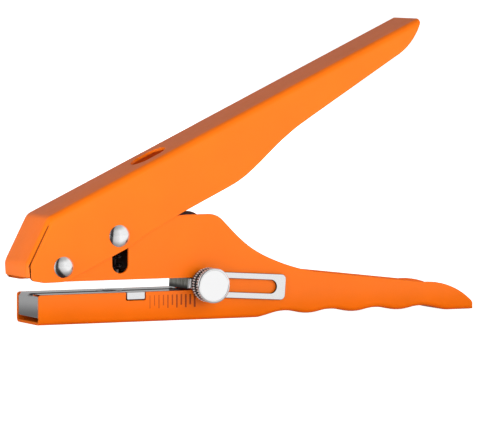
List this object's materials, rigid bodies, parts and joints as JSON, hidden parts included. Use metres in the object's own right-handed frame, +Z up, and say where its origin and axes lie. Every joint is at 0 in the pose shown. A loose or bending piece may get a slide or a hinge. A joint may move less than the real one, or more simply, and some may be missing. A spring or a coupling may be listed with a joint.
{
  "type": "single hole punch",
  "caption": "Hand-held single hole punch: sheet steel lower frame with finger grips, hinged lever handle, sprung punch, die plate and a sliding depth guide held by a thumb screw.",
  "frame": {"origin": "where the punch's axis meets the table, midway between the frame's side walls, on the flat underside of the lower jaw", "axes": "+X runs back from the jaws to the handles, +Z is up from the table, and the depth guide's arm and thumb screw are on the -Y side"},
  "size_m": [0.2035, 0.037, 0.1227],
  "materials": {
    "orange_paint": "satin orange powder coat on folded sheet steel",
    "chrome": "bright nickel-chrome plating",
    "plated_steel": "dull zinc plating",
    "hardened_steel": "ground tool steel",
    "spring_steel": "drawn spring wire"
  },
  "bodies": {
    "frame": {"frame_shell": "orange_paint", "die_plate": "plated_steel", "die_ring": "hardened_steel", "guide_bracket": "plated_steel", "guide_bush": "hardened_steel", "pivot_spacer": "plated_steel", "clamp_nut": "plated_steel", "return_spring": "spring_steel"},
    "lever": {"lever_shell": "orange_paint", "pivot_rivet": "chrome", "pivot_washer": "plated_steel", "drive_rivet": "chrome", "drive_washer": "plated_steel"},
    "punch": {"punch_pin": "hardened_steel"},
    "guide": {"depth_guide": "chrome"},
    "screw": {"thumb_screw": "chrome"}
  },
  "joints": [
    {"name": "lever_pivot", "type": "hinge", "parent": "frame", "child": "lever", "pos_m": [-0.0255, 0, 0.0235], "axis": [0, 1, 0], "range_deg": [0, 24], "stiffness_Nm_per_rad": 0.8, "springref_deg": -34.38},
    {"name": "punch_slide", "type": "slide", "parent": "frame", "child": "punch", "axis": [0, 0, -1], "range_m": [0, 0.0111], "deforming": ["return_spring"]},
    {"name": "guide_slide", "type": "slide", "parent": "frame", "child": "guide", "axis": [1, 0, 0], "range_m": [-0.0172, 0.0018]},
    {"name": "thumb_screw_turn", "type": "hinge", "parent": "frame", "child": "screw", "pos_m": [0.0374, -0.0125, 0.01465], "axis": [0, -1, 0], "range_deg": [0, 360]}
  ],
  "couplings": [
    {"joint": "punch_slide", "follows": "lever_pivot", "m_per_rad": 0.026266}
  ]
}
